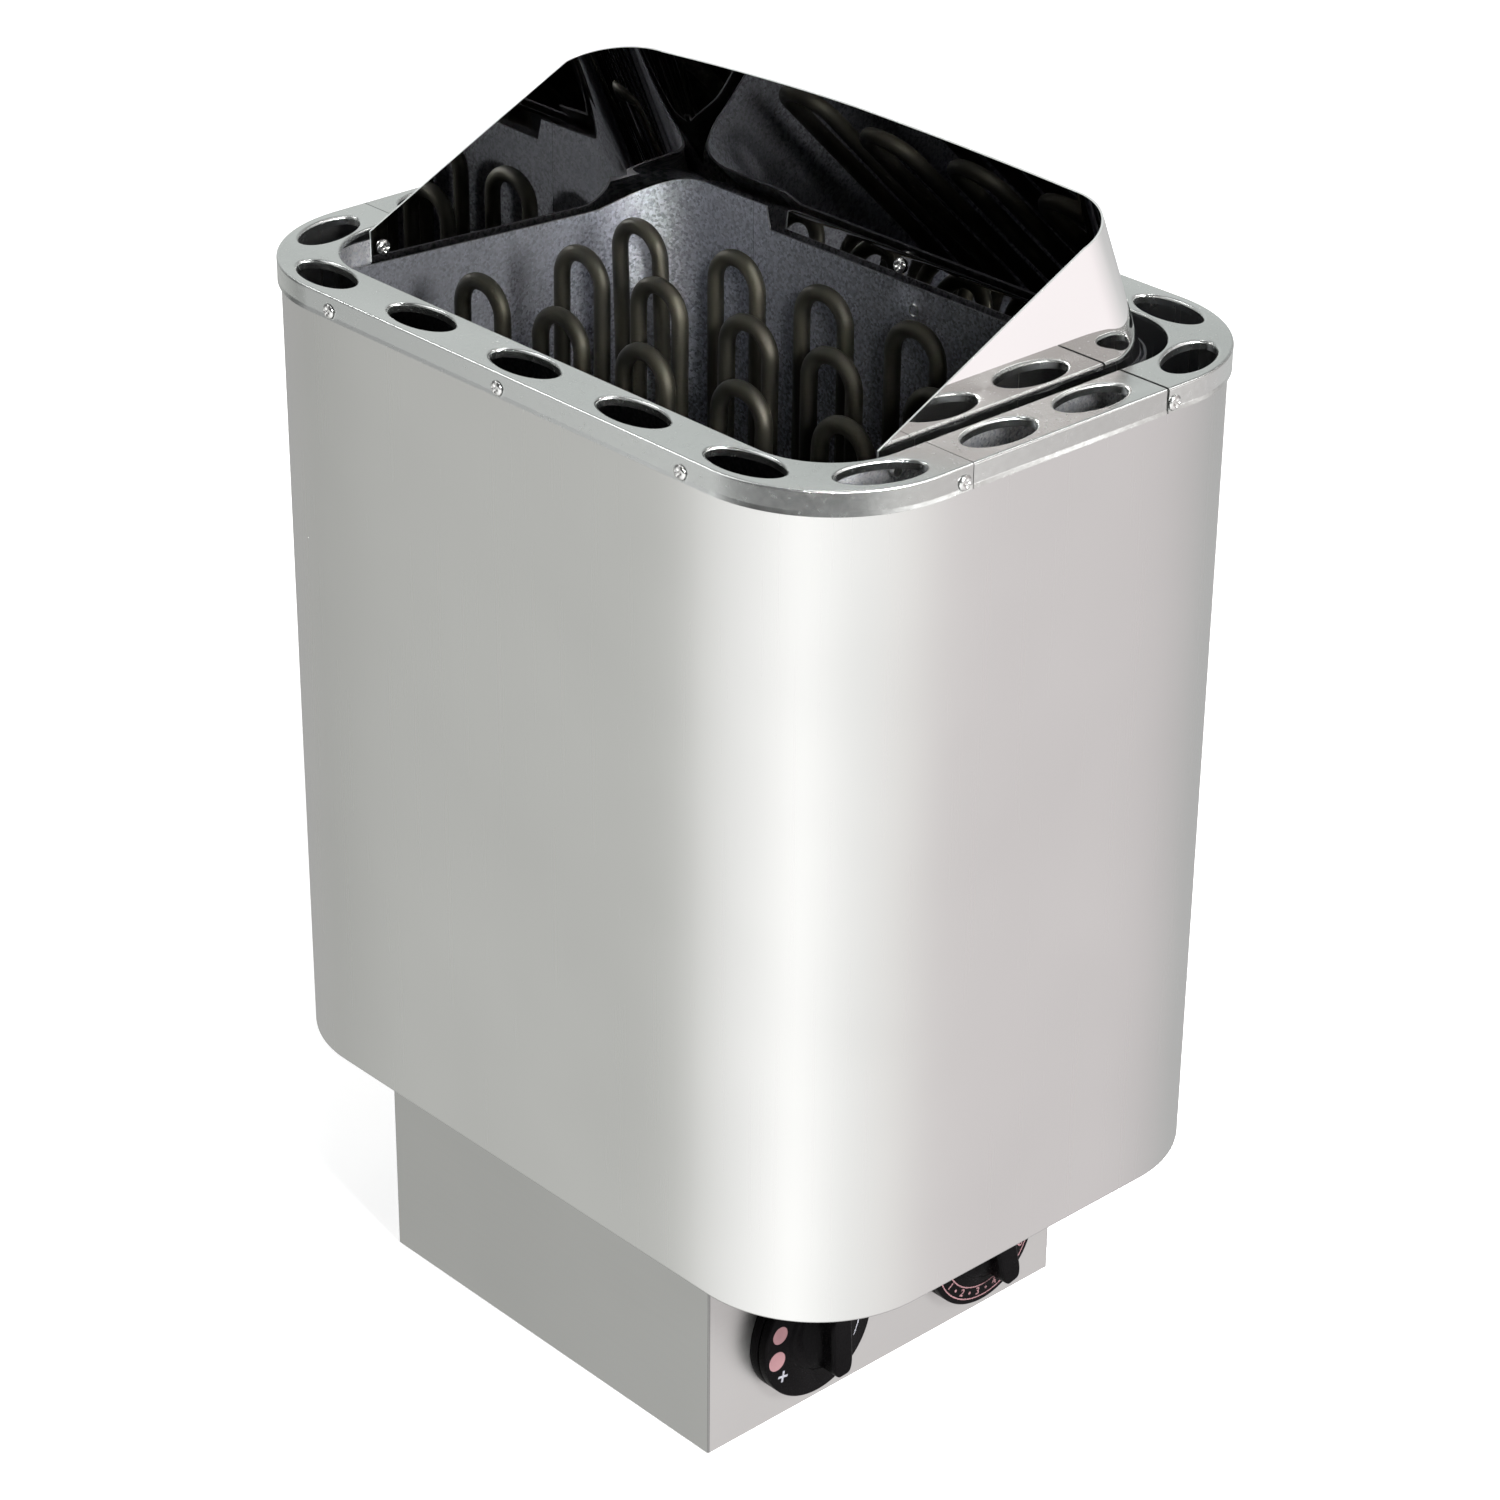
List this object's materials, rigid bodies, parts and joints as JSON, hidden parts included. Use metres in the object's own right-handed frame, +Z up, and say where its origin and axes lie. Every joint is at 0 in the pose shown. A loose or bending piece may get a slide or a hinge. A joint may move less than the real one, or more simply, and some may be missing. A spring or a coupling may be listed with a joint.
{
  "type": "sauna heater",
  "caption": "Wall-hung electric sauna heater: rounded steel casing with a vented rim, open stone compartment with looped heating elements, sloping mirror guard and dials on the control box.",
  "frame": {"origin": "middle of the bounding box in plan, at the underside of the control box", "axes": "+Z up, -Y front (the long side away from the wall), +Y to the wall, +X the side with the dials"},
  "size_m": [0.4174, 0.311, 0.6006],
  "materials": {
    "casing_steel": "polished stainless sheet",
    "box_steel": "satin stainless sheet",
    "rim_steel": "brushed stainless with dark polished folds",
    "mirror_steel": "mirror-polished stainless",
    "fastener_steel": "plain stainless",
    "zinc_steel": "zinc plated",
    "galvanised_sheet": "galvanised with fine spangle",
    "element_sheath": "dark oxidised alloy sheath",
    "dial_plastic": "black, fine satin",
    "gland_plastic": "black nylon",
    "capillary_copper": "bare copper",
    "button_plastic": "red",
    "switch_plastic": "pale moulded"
  },
  "bodies": {
    "heater": {"base_plate": "galvanised_sheet", "box_cover": "box_steel", "bracket_screw_1": "zinc_steel", "bracket_screw_2": "zinc_steel", "bracket_screw_3": "zinc_steel", "bracket_screw_4": "zinc_steel", "cable_gland": "gland_plastic", "cable_gland_nut": "gland_plastic", "control_box": "box_steel", "element_front": "element_sheath", "element_middle": "element_sheath", "element_nut_front_left": "zinc_steel", "element_nut_front_right": "zinc_steel", "element_nut_middle_left": "zinc_steel", "element_nut_middle_right": "zinc_steel", "element_nut_rear_left": "zinc_steel", "element_nut_rear_right": "zinc_steel", "element_rear": "element_sheath", "guard_screw_back": "fastener_steel", "guard_screw_left": "fastener_steel", "guard_screw_right": "fastener_steel", "heat_shield": "galvanised_sheet", "limiter_body": "switch_plastic", "liner_back": "galvanised_sheet", "liner_front": "galvanised_sheet", "liner_left": "galvanised_sheet", "liner_right": "galvanised_sheet", "outer_casing": "casing_steel", "rim_bridge_left": "rim_steel", "rim_bridge_right": "rim_steel", "rim_front": "rim_steel", "rim_rear": "rim_steel", "rim_rivet_front_1": "fastener_steel", "rim_rivet_front_2": "fastener_steel", "rim_rivet_front_3": "fastener_steel", "rim_rivet_left_1": "fastener_steel", "rim_rivet_left_2": "fastener_steel", "rim_rivet_rear_1": "fastener_steel", "rim_rivet_rear_2": "fastener_steel", "rim_rivet_rear_3": "fastener_steel", "rim_rivet_right_1": "fastener_steel", "rim_rivet_right_2": "fastener_steel", "sensor_limiter": "capillary_copper", "sensor_thermostat": "capillary_copper", "splash_guard": "mirror_steel", "support_rail_left": "galvanised_sheet", "support_rail_right": "galvanised_sheet", "terminal_block": "switch_plastic", "thermostat_bezel": "dial_plastic", "thermostat_body": "switch_plastic", "timer_bezel": "dial_plastic", "timer_body": "switch_plastic", "wall_bracket": "zinc_steel"},
    "thermostat_dial": {"thermostat_knob": "dial_plastic", "thermostat_shaft": "zinc_steel"},
    "timer_dial": {"timer_knob": "dial_plastic", "timer_shaft": "zinc_steel"},
    "reset": {"reset_button": "button_plastic"}
  },
  "joints": [
    {"name": "thermostat_turn", "type": "hinge", "parent": "heater", "child": "thermostat_dial", "pos_m": [0.1198, -0.07255, 0.0485], "axis": [-1, 0, 0], "range_deg": [0, 270]},
    {"name": "timer_turn", "type": "hinge", "parent": "heater", "child": "timer_dial", "pos_m": [0.1198, 0.04095, 0.0485], "axis": [-1, 0, 0], "range_deg": [0, 320]},
    {"name": "reset_press", "type": "slide", "parent": "heater", "child": "reset", "axis": [0, 0, 1], "range_m": [0, 0.0025], "stiffness_N_per_m": 400, "springref_m": -0.0005}
  ]
}
